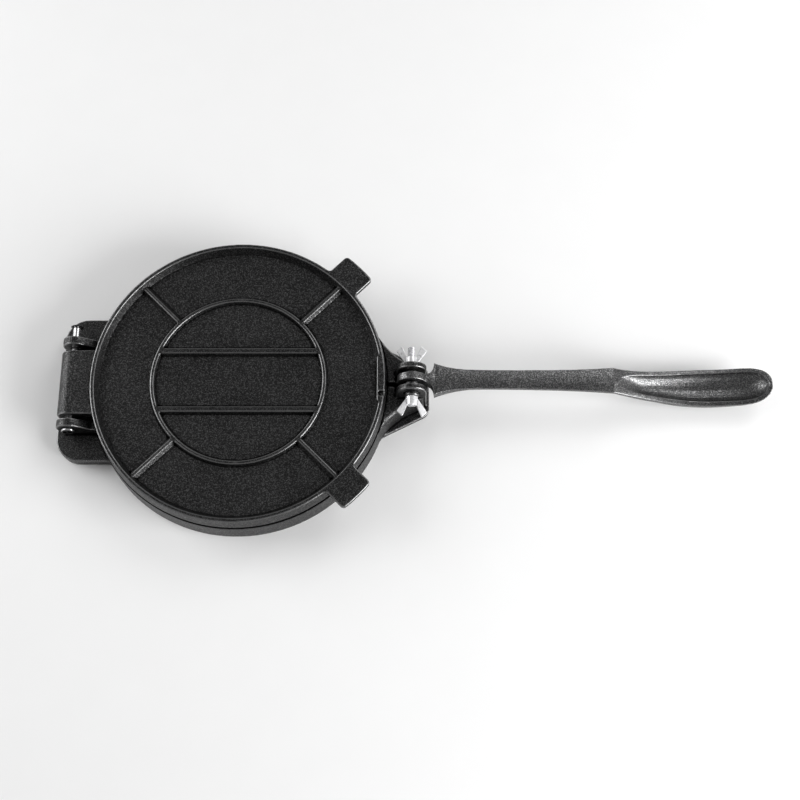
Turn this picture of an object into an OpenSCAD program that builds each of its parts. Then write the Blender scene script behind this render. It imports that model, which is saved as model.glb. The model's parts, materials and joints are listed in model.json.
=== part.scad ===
// Cast iron tortilla press: a round base, a ribbed top plate on a hinge pin, and a pressing lever
// that turns on a stud between two ears and lies open on the table.
// Origin: the middle of the round base at table level. +X points along the open lever, +Z is up.

/* [Plates] */
// Diameter of the top plate across its upper edge
plate_d = 250; // [210:1:300]
// How much wider the plate's side is at its lower edge than at its upper edge
plate_draft = 1.4; // [0.5:0.1:3]
// Full height of the top plate
plate_h = 15.4; // [12:0.1:20]
// Depth of the tray in the top plate, from rim to floor
tray_depth = 7.4; // [5:0.1:9]
// Width of the flat land on the rim
rim_land = 3.6; // [2.5:0.1:6]
// How far the tray's wall slopes inwards down to the floor
tray_draft = 2.2; // [0.5:0.1:4]
// Air between the two plates when the press is shut empty
plate_gap = 0.3; // [0.2:0.05:1]

/* [Ribs] */
// Inner diameter of the raised ring
ring_d = 143.6; // [110:0.2:170]
// Width of the ring's flat top
ring_w = 3; // [2:0.1:5]
// Height of the ring, bars and ribs above the tray floor
rib_h = 3.8; // [2:0.1:4.8]
// Distance between the middle lines of the two bars
bar_pitch = 52.6; // [40:0.2:70]
// Width of a bar's flat top
bar_w = 4.5; // [3:0.1:7]
// Width of a diagonal rib's flat top
rib_w = 2.5; // [1.5:0.1:5]
// How far each side of a bar or ring spreads down to its foot
bar_draft = 1; // [0.4:0.1:2]
// How far each side of a diagonal rib spreads down to its foot
rib_draft = 2.5; // [0.5:0.1:3.5]

/* [Grip tabs] */
// Reach of a tab beyond the plate's edge
tab_reach = 20.4; // [10:0.1:25]
// Width of a tab
tab_w = 31.4; // [20:0.2:40]
// Thickness of a tab
tab_t = 5; // [3:0.1:8]
// Radius of a tab's outer corners
tab_corner_r = 3.2; // [1:0.1:6]
// Radius of the fillets where a tab grows out of the rim
tab_root_r = 2.5; // [2:0.5:8]
// Direction of each tab from the lever's side
tab_angle = 45; // [35:1:60]

/* [Lever pad] */
// Length of the straight pad on the rim that the lever bears on
pad_len = 40; // [24:0.5:60]
// How far the pad reaches in from the plate's edge
pad_in = 7; // [5:0.1:12]
// Distance of the pad's notch from the middle line
notch_off = 13.3; // [8:0.1:16]
// Width of the notch
notch_w = 4.2; // [2:0.1:5]
// Depth of the notch below the rim
notch_depth = 3; // [1:0.1:5]
// How far the notch reaches in from the plate's edge
notch_in = 6; // [3:0.1:6]

/* [Base] */
// Height of the face that the dough is pressed on
base_h = 25; // [21:0.5:32]
// How far the base stands out beyond the plate's upper edge
base_lip = 2; // [1.6:0.1:5]
// How much wider the base is at the table than at its top
base_draft = 1; // [0.4:0.1:3]
// Thickness of the pressing face
base_skin = 7; // [5:0.1:9]
// Thickness of the base's outer wall
base_wall = 6; // [4.5:0.1:9]

/* [Hinge] */
// Distance of the hinge pin beyond the top edge of the base
hinge_out = 16.5; // [14:0.1:24]
// Diameter of the hinge pin
pin_d = 6.4; // [5:0.1:8]
// Outer radius of the tongue and lugs round the pin
knuckle_r = 10.5; // [8:0.1:12]
// Width of the top plate's tongue
tongue_w = 57; // [40:0.5:70]
// How far the tongue sits off the middle line, away from the pin's clip
tongue_off = 1.4; // [0:0.1:3]
// Radius of the fillets where the tongue grows out of the plate
tongue_root_r = 3.5; // [1:0.1:5]
// Radius of the tongue's corners, seen from above
tongue_corner_r = 2.5; // [1:0.1:6]
// Mean air between the tongue and a lug
tongue_gap = 4.7; // [3:0.1:8]
// Thickness of a lug
lug_t = 7.4; // [5:0.1:12]
// Length of pin that stands out beyond the far lug
pin_tail = 12.6; // [4:0.1:14]
// Play between the pin's head and the near lug
pin_play = 1; // [0.3:0.1:3]
// Diameter of the pin's head
pin_head_d = 11.8; // [9:0.1:16]
// How much the rim of the pin's head is bevelled, on the radius
pin_head_bevel = 1.2; // [0.4:0.1:1.6]
// Diameter of the retaining clip
clip_d = 11; // [9:0.1:16]
// Thickness of the pin's head
pin_head_t = 2; // [1:0.1:4]
// Thickness of the retaining clip
clip_t = 1.2; // [0.8:0.1:2]
// Half the width of the base's hinge end
heel_half_w = 64.8; // [56:0.1:75]
// Thickness of the base's hinge end
heel_t = 12; // [6:0.1:13]
// How far the hinge end reaches past the pin
heel_reach = 13; // [11:0.1:20]
// Radius of the fillets where the hinge end leaves the disc
heel_root_r = 5; // [2:0.5:12]
// How deep the tongue's barrel stands over the hinge end before its cut-out starts
heel_cover = 3; // [1:0.1:6]
// Radius of the hinge end's corners
heel_corner_r = 20; // [8:0.5:26]

/* [Lever pivot] */
// Distance of the lever's pivot beyond the top edge of the base
pivot_out = 20.5; // [18:0.1:30]
// Height of the pivot above the pressing face
pivot_rise = 12; // [9:0.1:14]
// Radius of the ears and the lever's eye round the stud
ear_r = 12.6; // [9:0.1:14]
// Thickness of an ear
ear_t = 5; // [4:0.1:8]
// Space between the two ears
ear_gap = 14.5; // [12:0.1:18]
// Diameter of the boss on the near ear, which its nut seats on
boss_d = 12; // [10:0.1:16]
// Thickness of that boss
boss_t = 3.2; // [1:0.1:4]
// Diameter of the stud
stud_d = 6; // [5:0.1:8]
// Length of the stud beyond the far ear
stud_far = 16.5; // [12:0.1:22]
// Length of the stud beyond the near ear
stud_near = 11.3; // [9:0.1:18]
// Half the width of the nose where it leaves the disc
nose_half = 46; // [38:0.5:55]
// Half the width that the nose's flanks sweep towards, a third of the way out
nose_sweep = 31; // [24:0.5:40]
// Half the width that they sweep towards, two thirds of the way out
nose_waist = 20; // [16:0.5:26]
// How far the nose's flanks spread from their top down to the foot
nose_draft = 3; // [1:0.1:5]
// Thickness of the foot round the nose of the base
foot_t = 5; // [3:0.1:8]
// Width of the slot in the nose between the disc and the pivot
slot_w = 4; // [2:0.1:6]
// Air between the lever's eye and the floor of the well between the ears
well_gap = 2.4; // [1:0.1:5]
// How far the foot reaches past the pivot
foot_reach = 15.5; // [13.5:0.1:20]
// Half the width of the foot at its rounded end
foot_half = 24; // [20:0.1:30]
// Radius of the foot's end corners
foot_corner_r = 9; // [4:0.1:14]
// Angle between the foot's sides and the middle line
foot_lean = 27; // [15:1:40]

/* [Wing nuts] */
// Span across the two wings
wing_span = 25.6; // [22:0.1:34]
// Distance between the inner corners of the wing tips
wing_inner = 16.2; // [12:0.1:20]
// How far a wing's outer corner stays below its tip
wing_skew = 3.2; // [1:0.1:6]
// Radius of the wings' corners
wing_corner_r = 0.9; // [0.4:0.1:1.6]
// Full height of a nut, from seat to wing tips
wing_h = 17; // [14:0.1:20]
// Height of the threaded hub
hub_h = 7.4; // [5:0.1:9]
// Diameter of the hub at its seat
hub_d = 10.4; // [9:0.1:12]
// How much narrower the hub is at its outer end
hub_taper = 1.8; // [0:0.1:3]
// Thickness of a wing
wing_t = 2.4; // [1.6:0.1:3.4]
// Turn of the near nut from level
near_turn = 10; // [-45:1:45]

/* [Lever] */
// Length from the pivot to the bend
blade_len = 172; // [140:0.5:220]
// Length from the bend to the tip
grip_len = 137.5; // [110:0.5:170]
// Thickness of the blade
blade_t = 6; // [4.5:0.1:8]
// Depth of the neck next to the ears
neck_depth = 13.6; // [10:0.1:16]
// Thickness of the eye between the ears
eye_t = 6.3; // [5:0.1:9]
// Radius of the bosses that centre the eye between the ears
eye_hub_r = 5.6; // [4.5:0.1:8]
// Half the width across the shoulders
shoulder_half = 14.4; // [11:0.1:20]
// Radius that the shoulders turn through beside the ears
shoulder_r = 5.8; // [3:0.1:9]
// Distance from the shoulders to the waist
waist_out = 42; // [30:0.5:60]
// Half the width at the waist of the blade
waist_half = 8.4; // [6:0.1:11]
// Half the width at the bend
bend_half = 11.2; // [9:0.1:14]
// Half the width of the grip at its widest
grip_half = 16.8; // [14:0.1:22]
// Height that the grip's rim falls towards after the bend
grip_fall = 20; // [17:0.1:24]
// Height that it falls towards before it rises to the tip
grip_dip = 5; // [4:0.1:12]
// Height of the grip's rim above the table at the tip
tip_rise = 28; // [18:0.5:32]
// Length of the curve that leads the grip down from the bend
grip_lead = 25.4; // [15:0.1:40]
// Length of the curve that leads it up to the tip
grip_tail = 57; // [40:0.5:75]
// Distance of the grip's widest place from the tip
widest_back = 52; // [40:0.5:70]
// Length of the grip's rounded end
tip_round = 27; // [15:0.5:32]
// Width of the rim round the hollow of the grip
grip_land = 3.9; // [2.5:0.1:6]
// Depth of the hollow of the grip
hollow_depth = 8; // [5:0.1:9]
// Distance from the bend to the point where the hollow starts
hollow_start = 3; // [1:0.1:10]
// Length over which the hollow opens to its full width
hollow_point = 26; // [15:0.5:40]
// Slope of the blade as it lies open, in degrees
blade_slope = 1.3; // [0:0.1:3]

/* [Fits] */
// Running clearance round the pin and the stud, on the radius
run_fit = 0.08; // [0.04:0.01:0.1]
// Air between faces that turn past each other
side_gap = 0.3; // [0.2:0.05:0.6]
// Air between the lever's belly and the table
table_gap = 0.3; // [0.1:0.05:1]

/* [Hidden] */
$fn = 96;
cut = 1;

base_top_r = plate_d / 2 + base_lip;
hinge_x = base_top_r + hinge_out;
pivot_x = base_top_r + pivot_out;

plate_r = plate_d / 2;
plate_z = base_h + plate_gap;
rim_z = plate_z + plate_h;
floor_z = rim_z - tray_depth;
land_r = plate_r - rim_land;
tray_r = land_r - tray_draft;
rib_z = floor_z + rib_h;
ring_mid_r = (ring_d + ring_w) / 2;

base_foot_r = base_top_r + base_draft;
cavity_z = base_h - base_skin;
cavity_r = base_top_r - base_wall;
wall_mid_r = base_top_r - base_wall / 2;

pin_z = base_h;
tongue_half = tongue_w / 2;
lug_in = tongue_half + tongue_gap;
lug_out = lug_in + lug_t;
heel_x = hinge_x + heel_reach;
tongue_top = pin_z + knuckle_r + 0.5;

pivot_z = base_h + pivot_rise;
ear_in = ear_gap / 2;
ear_out = ear_in + ear_t;
far_seat = ear_out + side_gap;
near_seat = ear_out + boss_t + side_gap;

eye_r = ear_r - side_gap;
neck_x = pivot_x + ear_r + 2 * side_gap;
shoulder_x = neck_x + shoulder_r;
bend_x = pivot_x + blade_len;
tip_x = bend_x + grip_len;
blade_top = pivot_z + 2.8;

// Points of an arc about c from angle a to angle b.
function arc(c, r, a, b, n = 8) =
    [for (i = [0 : n]) let (t = a + (b - a) * i / n) [c[0] + r * cos(t), c[1] + r * sin(t)]];

// Smooth step from 0 at a to 1 at b.
function ease(a, b, x) = let (u = min(max((x - a) / (b - a), 0), 1)) u * u * (3 - 2 * u);

// Point of a cubic curve with four control values.
function cubic(p, t) =
    p[0] * pow(1 - t, 3) + 3 * p[1] * t * pow(1 - t, 2) + 3 * p[2] * t * t * (1 - t) + p[3] * pow(t, 3);

// Outline of an arm that grows out of a disc of radius r with filleted roots, towards +X.
// Its inner end is an arc of radius inner, hidden inside the disc. An arched tip is concentric with it.
function arm(r, inner, half, tip, corner, fillet, arched = false) =
    let (cx = sqrt(pow(r + fillet, 2) - pow(half + fillet, 2)),
        lean = atan2(half + fillet, cx),
        end_x = arched ? sqrt(pow(tip - corner, 2) - pow(half - corner, 2)) : tip - corner,
        turn = arched ? atan2(half - corner, end_x) : 0,
        side = concat(
            arc([cx, half + fillet], fillet, 180 + lean, 270, 6),
            arc([end_x, half - corner], corner, 90, turn, 8),
            arched ? arc([0, 0], tip, turn * 7 / 9, turn / 9, 3) : []))
    concat(arc([0, 0], inner, -lean, lean, 24), side, [for (i = [len(side) - 1 : -1 : 0]) [side[i][0], -side[i][1]]]);

// Extrudes an outline drawn in X and Z over a width in Y, from y0 to y1.
module across(points, y0, y1) {
    translate([0, y1, 0]) rotate([90, 0, 0]) linear_extrude(y1 - y0) polygon(points);
}

// A closed ring at x (or z) whose half outline runs from one point on the middle plane to another.
function mirrored(half) =
    concat(half, [for (i = [len(half) - 2 : -1 : 1]) [half[i][0], -half[i][1], half[i][2]]]);

// A solid through mirrored rings, each with the same count of points.
module loft(rings) {
    m = len(rings);
    n = len(rings[0]);
    k = n / 2;
    cap = [for (j = [0 : k - 1]) j == 0 ? [0, 1, n - 1] : j == k - 1 ? [j, k, k + 1] : [j, j + 1, n - 1 - j, n - j]];
    polyhedron(
        points = [for (ring = rings) each ring],
        faces = concat(
            [for (f = cap) [for (j = [len(f) - 1 : -1 : 0]) f[j]]],
            [for (i = [0 : m - 2], j = [0 : n - 1]) each [
                [i * n + j, i * n + (j + 1) % n, (i + 1) * n + (j + 1) % n],
                [i * n + j, (i + 1) * n + (j + 1) % n, (i + 1) * n + j]]],
            [for (f = cap) [for (v = f) (m - 1) * n + v]]),
        convexity = 6);
}

// A straight rib with sloping sides, along +X from x0 to x1, standing on the tray floor.
module rib(x0, x1, top_w, draft) {
    foot = top_w / 2 + draft * (rib_h + cut) / rib_h;
    translate([x0, 0, 0]) rotate([90, 0, 90]) linear_extrude(x1 - x0) polygon([
        [-foot, floor_z - cut], [foot, floor_z - cut], [top_w / 2, rib_z], [-top_w / 2, rib_z]]);
}

module plate_dish() {
    edge = 2;
    rotate_extrude() polygon(concat(
        [[0, plate_z]],
        arc([plate_r + plate_draft - edge, plate_z + edge], edge, -90, 0, 6),
        arc([plate_r - 0.8, rim_z - 0.8], 0.8, 0, 90, 4),
        arc([land_r + 0.6, rim_z - 0.6], 0.6, 90, 180, 4),
        arc([tray_r - 1.5, floor_z + 1.5], 1.5, 0, -90, 5),
        [[0, floor_z]]));
}

module plate_ribs() {
    foot = bar_draft * (rib_h + cut) / rib_h;
    rotate_extrude() polygon([
        [ring_d / 2 - foot, floor_z - cut], [ring_d / 2 + ring_w + foot, floor_z - cut],
        [ring_d / 2 + ring_w, rib_z], [ring_d / 2, rib_z]]);
    intersection() {
        for (side = [-1, 1]) translate([0, side * bar_pitch / 2, 0]) rib(-ring_mid_r, ring_mid_r, bar_w, bar_draft);
        cylinder(r = ring_mid_r, h = rim_z);
    }
    for (side = [-1, 1], half_turn = [0, 180])
        rotate([0, 0, side * 45 + half_turn]) rib(ring_mid_r, tray_r + 1, rib_w, rib_draft);
}

// The straight pad on the rim that the lever bears on.
module lever_pad() {
    intersection() {
        translate([plate_r - pad_in, -pad_len / 2, floor_z - cut]) cube([pad_in, pad_len, tray_depth + cut]);
        cylinder(r = plate_r - rim_land / 2, h = rim_z);
    }
}

// The tongue that takes the hinge pin: a barrel on an arm with filleted roots.
module plate_tongue() {
    pin = [-hinge_x, pin_z];
    barrel_end = hinge_x + knuckle_r + cut;
    half = tongue_half + tongue_root_r;
    difference() {
        intersection() {
            translate([0, -tongue_off, 0]) across(concat(
                arc(pin, knuckle_r, 90, 325, 28),
                [[-base_foot_r - 1.5, plate_z], [-wall_mid_r + knuckle_r, plate_z],
                    [-wall_mid_r + knuckle_r, tongue_top + 0.5], [-plate_r - 4, tongue_top]]), -half, half);
            translate([0, -tongue_off, 0]) rotate([0, 0, 180]) linear_extrude(2 * rim_z)
                polygon(arm(plate_r + 0.2, land_r - knuckle_r, tongue_half, barrel_end,
                    tongue_corner_r + cut, tongue_root_r));
        }
        cylinder(r = land_r + 0.8, h = rim_z);
    }
}

module top_plate() color("#2b2b2c") {
    difference() {
        union() {
            plate_dish();
            plate_ribs();
            lever_pad();
            plate_tongue();
            for (side = [-1, 1]) rotate([0, 0, side * tab_angle]) translate([0, 0, rim_z - tab_t])
                linear_extrude(tab_t) polygon(arm(plate_r + 0.2, land_r + 1, tab_w / 2,
                    plate_r + tab_reach, tab_corner_r, tab_root_r, true));
        }
        translate([plate_r - notch_in, -notch_off - notch_w / 2, rim_z - notch_depth])
            cube([notch_in + cut, notch_w, notch_depth + cut]);
        translate([-hinge_x, 0, pin_z]) rotate([90, 0, 0])
            cylinder(d = pin_d + 2 * run_fit, h = 2 * lug_out, center = true);
    }
}

module base_dish() {
    edge = 2;
    rotate_extrude() polygon(concat(
        [[0, cavity_z]],
        arc([cavity_r - 3, cavity_z - 3], 3, 90, 0, 5),
        [[cavity_r + base_draft, 0], [base_foot_r - 0.6, 0], [base_foot_r, 0.6]],
        arc([base_top_r - edge, base_h - edge], edge, 0, 90, 6),
        [[0, base_h]]));
}

// The ring and four ribs that stiffen the pressing face from below.
module base_ribs() {
    low = cavity_z - rib_h;
    rotate_extrude() translate([ring_d / 2, low]) square([ring_w + bar_draft, rib_h + cut]);
    for (side = [-1, 1], half_turn = [0, 180]) rotate([0, 0, side * 45 + half_turn])
        translate([ring_mid_r, -ring_w / 2 - bar_draft / 2, low])
            cube([cavity_r - ring_mid_r + 2, ring_w + bar_draft, rib_h + cut]);
}

// The hinge end of the base, cut out between the lugs where the tongue turns.
module heel() {
    barrel_back = hinge_x + knuckle_r - heel_cover;
    difference() {
        rotate([0, 0, 180]) linear_extrude(heel_t)
            polygon(arm(base_foot_r - 0.4, wall_mid_r, heel_half_w, heel_x, heel_corner_r, heel_root_r));
        translate([-heel_x - cut, -lug_in - cut, -cut])
            cube([heel_x - barrel_back + cut, 2 * (lug_in + cut), heel_t + 2 * cut]);
    }
}

module lug(y0) {
    pin = [-hinge_x, pin_z];
    toe = pin[0] - knuckle_r * cos(50);
    difference() {
        across(concat(
            arc(pin, knuckle_r, 62, 230, 20),
            [[toe, heel_t / 2], [-plate_r + 15, heel_t / 2], [-plate_r + 15, base_h - 3],
                [-plate_r, base_h - 1], [-plate_r - 3, base_h + 2]]), y0, y0 + lug_t);
        cylinder(r = wall_mid_r, h = 2 * base_h);
    }
}

// The foot round the nose: straight sides that run from the disc to a rounded end.
module nose_foot() {
    end = [pivot_x + foot_reach - foot_corner_r, foot_half - foot_corner_r];
    start = wall_mid_r * cos(24);
    rim = end + foot_corner_r * [sin(foot_lean), cos(foot_lean)];
    half = concat(
        [[start, rim[1] + (rim[0] - start) * tan(foot_lean)]],
        arc(end, foot_corner_r, 90 - foot_lean, 0, 8));
    difference() {
        linear_extrude(foot_t)
            polygon(concat(half, [for (i = [len(half) - 1 : -1 : 0]) [half[i][0], -half[i][1]]]));
        translate([0, 0, -cut]) cylinder(r = wall_mid_r, h = foot_t + 2 * cut);
    }
}

// One level of the nose's body: hollow flanks that sweep from the disc to the ears.
function nose_ring(z, grow, end_x) = mirrored(concat(
    [[plate_r - 14, 0, z], [plate_r - 10, nose_half + 1 + grow, z]],
    [for (i = [0 : 8]) [
        cubic([plate_r - 7.5, plate_r + 1.5, pivot_x - ear_r + 3, end_x], i / 8),
        cubic([nose_half, nose_sweep, nose_waist, ear_out + 0.9], i / 8) + grow, z]],
    [[end_x + 0.5, 0, z]]));

module nose() {
    difference() {
        loft([nose_ring(foot_t / 2, nose_draft, pivot_x + ear_r - 1.4),
            nose_ring(base_h, 0, pivot_x + ear_r - 3.4)]);
        cylinder(r = wall_mid_r, h = base_h - base_skin / 2);
    }
}

module ear(y0) {
    toe = foot_t / 2;
    across(concat(
        [[pivot_x + ear_r + 0.4, toe]],
        arc([pivot_x, pivot_z], ear_r, 0, 180, 24),
        [[pivot_x - ear_r - 1.6, base_h], [pivot_x - ear_r - 1.6, toe]]), y0, y0 + ear_t);
}

module base() color("#303031") {
    well_z = pivot_z - eye_r - well_gap;
    difference() {
        union() {
            base_dish();
            base_ribs();
            heel();
            nose_foot();
            lug(lug_in);
            lug(-lug_out);
            nose();
            ear(ear_in);
            ear(-ear_out);
            translate([pivot_x, -ear_out, pivot_z]) rotate([90, 0, 0]) cylinder(d = boss_d, h = boss_t);
        }
        translate([pivot_x - ear_r - 2, -ear_in, well_z]) cube([2 * ear_r + foot_reach, ear_gap, pivot_z]);
        translate([plate_r + 0.8, -slot_w / 2, base_h - 8]) cube([pivot_x - plate_r, slot_w, pivot_z]);
        translate([-hinge_x, 0, pin_z]) rotate([90, 0, 0])
            cylinder(d = pin_d + 2 * run_fit, h = 2 * lug_out + 2 * cut, center = true);
        translate([pivot_x, 0, pivot_z]) rotate([90, 0, 0])
            cylinder(d = stud_d + 2 * run_fit, h = 2 * near_seat, center = true);
    }
}

module hinge_pin() color("#a9abad") {
    tail = lug_out + pin_tail;
    head = lug_out + pin_play;
    translate([-hinge_x, tail, pin_z]) rotate([90, 0, 0]) cylinder(d = pin_d, h = tail + head);
    translate([-hinge_x, -head, pin_z]) rotate([90, 0, 0])
        cylinder(d1 = pin_head_d, d2 = pin_head_d - 2 * pin_head_bevel, h = pin_head_t);
}

// The clip pushed on the far end of the pin.
module retaining_clip() color("#3a3a3b") {
    translate([-hinge_x, lug_out + pin_tail - 0.4, pin_z]) rotate([90, 0, 0]) difference() {
        cylinder(d = clip_d, h = clip_t);
        translate([0, 0, -cut]) cylinder(d = pin_d, h = clip_t + 2 * cut);
    }
}

module pivot_stud() color("#b9bbbd") {
    translate([pivot_x, ear_out + stud_far, pivot_z]) rotate([90, 0, 0])
        cylinder(d = stud_d, h = 2 * ear_out + stud_far + stud_near);
}

// A wing nut seated at z = 0 with its wings in the XZ plane.
module wing_nut() {
    bore_r = stud_d / 2 + run_fit;
    hub_top_r = (hub_d - hub_taper) / 2;
    difference() {
        union() {
            cylinder(r1 = hub_d / 2, r2 = hub_top_r, h = hub_h);
            for (side = [0, 180]) rotate([90, 0, side])
                translate([0, 0, -wing_t / 2]) linear_extrude(wing_t) polygon(concat(
                    [[bore_r + 0.4, hub_h - 1], [bore_r + 0.4, 1.4], [hub_d / 2, 1.8]],
                    arc([wing_span / 2 - wing_corner_r, wing_h - wing_skew - wing_corner_r],
                        wing_corner_r, -30, 45, 4),
                    arc([wing_inner / 2 + wing_corner_r / 2, wing_h - wing_corner_r], wing_corner_r, 60, 160, 5),
                    [[hub_top_r + 0.5, hub_h + 2]]));
        }
        translate([0, 0, -cut]) cylinder(r = bore_r, h = hub_h + 2 * cut);
    }
}

module wing_nut_far() color("#c9cbcd") {
    translate([pivot_x, far_seat, pivot_z]) rotate([-90, 0, 0]) wing_nut();
}

module wing_nut_near() color("#c9cbcd") {
    translate([pivot_x, -near_seat, pivot_z]) rotate([90, near_turn, 0]) wing_nut();
}

// Height of the lever's upper face along its length, up to the bend.
function blade_z(x) = blade_top - (x - shoulder_x) * tan(blade_slope);

// Depth of the lever from its upper face down.
function blade_depth(x) = blade_t + (neck_depth - blade_t) * (1 - ease(shoulder_x, shoulder_x + 38, x));

// Half width of the blade: wide shoulders, a waist, and a slow spread to the bend.
function blade_half(x) =
    let (waist_x = shoulder_x + waist_out,
        from_waist = min((waist_x - x) / (waist_x - shoulder_x), 1),
        to_bend = (x - waist_x) / (bend_x - waist_x))
    waist_half + (x < waist_x ? (shoulder_half - waist_half) * pow(from_waist, 3)
        : (bend_half - waist_half) * pow(to_bend, 3));

// One closed cross-section of the lever at x. Its top is crowned, or hollowed to a depth, and below
// it follows a curve with the exponent square: 2 is an ellipse and more comes closer to a box.
function section(x, half, top, depth, hollow_half = 2, hollow = -0.3, square = 7) =
    let (lip = min(0.8, half / 4), hollow_n = 5, round_n = 7)
    mirrored(concat(
        [for (i = [0 : hollow_n]) let (t = 90 * i / hollow_n)
            [x, hollow_half * sin(t), top - hollow * pow(cos(t), 1.2)]],
        [for (i = [0 : round_n]) let (t = 90 * i / round_n)
            [x, half * pow(cos(t), 2 / square), top - lip - (depth - lip) * pow(sin(t), 2 / square)]]));

function neck_sections() = concat(
    [section(pivot_x + 5, eye_t / 2 - 0.6, pivot_z + 6, neck_depth, 1)],
    [section(pivot_x + ear_r - 1.8, eye_t / 2 + 0.2, pivot_z + 4.5, neck_depth, 1)],
    [for (a = [0 : 15 : 90]) let (x = neck_x + (shoulder_x - neck_x) * sin(a))
        section(x, shoulder_half - (shoulder_half - 4.3) * cos(a), blade_z(x) + 0.8 * cos(a), neck_depth)]);

function blade_sections() =
    [for (i = [1 : 12]) let (x = shoulder_x + (bend_x - shoulder_x) * pow(i / 12, 1.5))
        section(x, blade_half(x), blade_z(x), blade_depth(x), waist_half * 0.6)];

// Half width of a rounded end that starts at x0 and closes at x1.
function end_factor(x0, x1, x, square = 2.5) =
    pow(max(1 - pow(max((x - x0) / (x1 - x0), 0), square), 0), 1 / square);

// Height of the grip's rim along its length, for t from 0 at the bend to 1 at the tip.
function rim_height(t) = cubic([blade_z(bend_x), grip_fall, grip_dip, tip_rise], t);

belly_depth = min([for (i = [0 : 50]) rim_height(i / 50)]) - table_gap;

function grip_section(t) =
    let (x = cubic([bend_x, bend_x + grip_lead, tip_x - grip_tail, tip_x], t),
        round_x = tip_x - tip_round,
        full_half = bend_half + (grip_half - bend_half) * ease(bend_x, tip_x - widest_back, x),
        half = full_half * end_factor(round_x, tip_x + 0.15, x),
        depth = (blade_t + (belly_depth - blade_t) * ease(bend_x, bend_x + 2.4 * grip_lead, x))
            * (1 - 0.5 * ease(tip_x - grip_tail, tip_x, x)),
        start = bend_x + hollow_start,
        open = x > start ? sqrt(1 - pow(max(1 - (x - start) / hollow_point, 0), 2)) : 0,
        shut = end_factor(round_x, tip_x - grip_land, x),
        hollow_half = max((full_half - grip_land) * open * shut, min(half - grip_land, 4) * (1 - open), 0.6),
        hollow = hollow_depth * ease(start, start + hollow_point, x) * shut)
    section(x, half, rim_height(t), depth, hollow_half, hollow > 0.3 ? hollow : hollow - 0.3,
        7 - 4.4 * ease(bend_x, bend_x + 1.6 * grip_lead, x));

function grip_sections() = concat(
    [for (i = [1 : 20]) grip_section(0.9 * i / 20)],
    [for (a = [12 : 12 : 84]) grip_section(0.9 + 0.1 * sin(a))],
    [grip_section(0.9995)]);

module lever_handle() color("#3c3c3d") {
    hub_half = ear_in - side_gap;
    difference() {
        union() {
            translate([pivot_x, eye_t / 2, pivot_z]) rotate([90, 0, 0]) cylinder(r = eye_r, h = eye_t);
            translate([pivot_x, hub_half, pivot_z]) rotate([90, 0, 0]) cylinder(r = eye_hub_r, h = 2 * hub_half);
            loft(concat(neck_sections(), blade_sections(), grip_sections()));
        }
        translate([pivot_x, 0, pivot_z]) rotate([90, 0, 0])
            cylinder(d = stud_d + 2 * run_fit, h = ear_gap + 2 * cut, center = true);
    }
}

base();
top_plate();
lever_handle();
hinge_pin();
retaining_clip();
pivot_stud();
wing_nut_far();
wing_nut_near();
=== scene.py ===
"""The looks of a hinged cast iron tortilla press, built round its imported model.

Every piece is made from, or seated by, the solid that it stands for. The castings get the rounded
edges of sand moulding, and the hardware gets its thread, dished head, thinned wings and prongs.
"""

from __future__ import annotations

import json
import logging
import math
from dataclasses import dataclass, field
from enum import Enum
from typing import Callable, Sequence, Union

import bmesh
import bpy
import numpy as np
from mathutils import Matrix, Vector

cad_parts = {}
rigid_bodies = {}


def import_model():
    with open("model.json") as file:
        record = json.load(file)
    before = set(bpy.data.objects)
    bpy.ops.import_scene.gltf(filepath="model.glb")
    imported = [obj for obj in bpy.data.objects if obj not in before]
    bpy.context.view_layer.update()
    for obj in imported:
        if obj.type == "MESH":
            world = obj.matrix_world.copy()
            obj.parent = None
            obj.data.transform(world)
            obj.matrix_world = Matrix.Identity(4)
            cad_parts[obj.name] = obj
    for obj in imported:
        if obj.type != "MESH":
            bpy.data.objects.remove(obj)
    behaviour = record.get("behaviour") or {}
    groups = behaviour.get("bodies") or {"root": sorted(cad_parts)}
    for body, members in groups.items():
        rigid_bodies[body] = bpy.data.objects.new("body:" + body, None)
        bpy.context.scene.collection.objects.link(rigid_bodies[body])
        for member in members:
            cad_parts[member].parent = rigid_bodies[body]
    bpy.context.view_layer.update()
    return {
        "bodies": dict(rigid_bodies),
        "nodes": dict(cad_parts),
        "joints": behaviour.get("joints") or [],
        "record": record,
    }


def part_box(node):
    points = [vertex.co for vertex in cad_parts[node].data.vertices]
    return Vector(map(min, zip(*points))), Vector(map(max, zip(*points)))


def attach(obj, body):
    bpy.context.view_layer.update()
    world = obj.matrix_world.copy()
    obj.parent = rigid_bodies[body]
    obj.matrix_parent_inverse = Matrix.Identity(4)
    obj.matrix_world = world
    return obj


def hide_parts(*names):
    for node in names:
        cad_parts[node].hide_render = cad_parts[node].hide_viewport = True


log = logging.getLogger("press")

MM = 0.001  # Metres in a millimetre.
CREST = "crest"  # The mesh attribute that tells edges from hollows.
SHALLOW = 0.3  # A hollow below this share of full depth doesn't count as one.
DOUBLED = 0.002  # Points closer than this many millimetres are one point.
ALL_SMOOTH = 180.0  # No edge is sharper than this many degrees.
# Painted shade: the near black laid over the face of the pin's head.
HEAD_SHADE = (0.016, 0.016, 0.017)
# Painted shade: the dull black that is mixed into sunk corners, creases and the plate seam.
CREVICE_SHADE = (0.002, 0.002, 0.002)
# Painted shade: the grey laid into the hollows of the zinc parts.
HOLLOW_SHADE = (0.12, 0.12, 0.125)

Number = Union[int, float]
Colour = tuple[float, float, float]
Point = tuple[float, float, float]
Stops = Sequence[tuple[float, float]]


class Operation(Enum):
    """The sums that wires take part in."""

    ADD = "ADD"
    SUBTRACT = "SUBTRACT"
    MULTIPLY = "MULTIPLY"


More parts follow.
